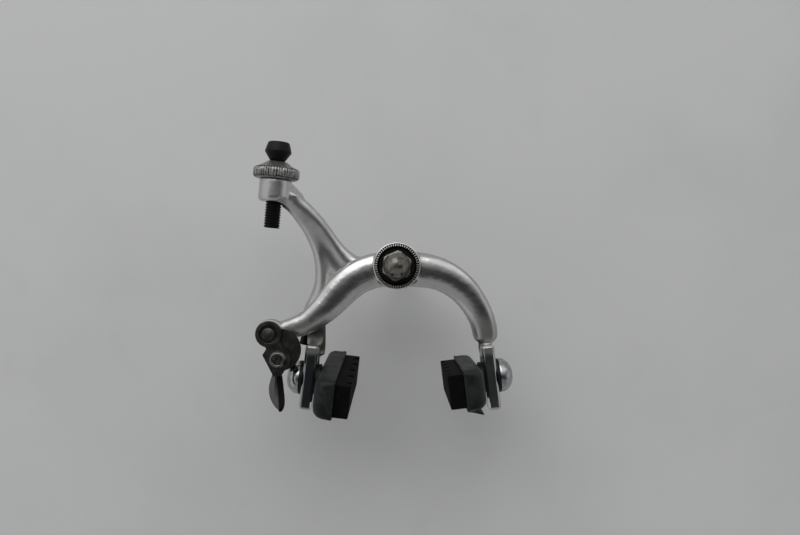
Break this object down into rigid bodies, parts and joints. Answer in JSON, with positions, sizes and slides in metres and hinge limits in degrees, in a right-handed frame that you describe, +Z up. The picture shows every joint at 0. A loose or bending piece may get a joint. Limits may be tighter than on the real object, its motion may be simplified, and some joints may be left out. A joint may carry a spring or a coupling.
{
  "type": "caliper brake",
  "caption": "Single-pivot side-pull bicycle rim brake caliper with two forged arms, a cable adjuster, a quick-release lever and two brake shoes.",
  "frame": {"origin": "on the centre bolt's axis, at the face of the crown washer that meets the frame", "axes": "+X across the wheel to the right as seen from the front, +Z up, +Y along the centre bolt towards the frame; the front of the brake faces -Y"},
  "size_m": [0.0978, 0.069, 0.1012],
  "materials": {
    "forged_alloy": "satin polished forging",
    "bright_chrome": "polished chrome plate",
    "nut_steel": "worn plated steel",
    "dial_steel": "dulled plated steel",
    "dark_steel": "dark worn steel",
    "spring_steel": "bright drawn wire",
    "washer_brass": "plain brass",
    "holder_alloy": "dark grey satin",
    "pad_rubber": "matte black rubber",
    "black_barrel": "black anodised",
    "wheel_metal": "worn knurled metal",
    "sleeve_plastic": "black moulded plastic"
  },
  "bodies": {
    "centre_bolt": {"pivot_bolt": "spring_steel", "crown_washer": "nut_steel", "return_spring": "spring_steel", "rear_washer": "washer_brass", "middle_washer": "washer_brass", "serrated_dial": "dial_steel", "adjusting_nut": "nut_steel", "pivot_acorn_nut": "nut_steel"},
    "rear_arm": {"rear_arm": "forged_alloy", "spring_sleeve_left": "sleeve_plastic"},
    "front_arm": {"front_arm": "forged_alloy", "spring_sleeve_right": "sleeve_plastic", "lever_rivet": "dark_steel", "spring_washer": "nut_steel"},
    "left_shoe": {"left_shoe_holder": "holder_alloy", "left_brake_pad": "pad_rubber", "left_shoe_bolt": "nut_steel", "left_inner_washer": "nut_steel", "left_outer_washer": "dark_steel", "left_dome_nut": "bright_chrome"},
    "right_shoe": {"right_shoe_holder": "holder_alloy", "right_brake_pad": "pad_rubber", "right_shoe_bolt": "nut_steel", "right_inner_washer": "nut_steel", "right_outer_washer": "dark_steel", "right_dome_nut": "bright_chrome"},
    "adjuster_wheel": {"adjuster_wheel": "wheel_metal"},
    "adjuster_barrel": {"adjuster_barrel": "black_barrel"},
    "quick_release": {"quick_release_lever": "dark_steel"},
    "cable_anchor": {"anchor_bolt": "dark_steel", "anchor_washer": "dark_steel", "clamp_washer": "dark_steel", "anchor_nut": "dark_steel"}
  },
  "joints": [
    {"name": "rear_arm_pivot", "type": "hinge", "parent": "centre_bolt", "child": "rear_arm", "pos_m": [0, -0.0126, 0], "axis": [0, -1, 0], "range_deg": [0, 8], "stiffness_Nm_per_rad": 0.5, "springref_deg": -28.65, "deforming": ["return_spring"]},
    {"name": "front_arm_pivot", "type": "hinge", "parent": "centre_bolt", "child": "front_arm", "pos_m": [0, -0.0212, 0], "axis": [0, 1, 0], "range_deg": [0, 8], "stiffness_Nm_per_rad": 0.5, "springref_deg": -28.65, "deforming": ["return_spring"]},
    {"name": "adjuster_wheel_turn", "type": "hinge", "parent": "rear_arm", "child": "adjuster_wheel", "pos_m": [-0.0454, -0.0218, 0.0324], "axis": [0.0889, 0, 0.996], "range_deg": [0, 2520]},
    {"name": "adjuster_barrel_slide", "type": "slide", "parent": "rear_arm", "child": "adjuster_barrel", "axis": [0.0889, 0, 0.996], "range_m": [0, 0.0072]},
    {"name": "left_shoe_height", "type": "slide", "parent": "rear_arm", "child": "left_shoe", "axis": [0.1184, 0, 0.993], "range_m": [-0.0038, 0.0008]},
    {"name": "right_shoe_height", "type": "slide", "parent": "front_arm", "child": "right_shoe", "axis": [-0.1184, 0, 0.993], "range_m": [-0.0045, 0.0045]},
    {"name": "quick_release_swing", "type": "hinge", "parent": "front_arm", "child": "quick_release", "pos_m": [-0.0474, 0, -0.0252], "axis": [0, 1, 0], "range_deg": [0, 90]},
    {"name": "cable_anchor_swivel", "type": "hinge", "parent": "quick_release", "child": "cable_anchor", "pos_m": [-0.0439, 0, -0.0345], "axis": [0, 1, 0], "range_deg": [-90, 20]}
  ],
  "couplings": [
    {"joint": "adjuster_barrel_slide", "follows": "adjuster_wheel_turn", "m_per_rad": 0.00015915}
  ]
}
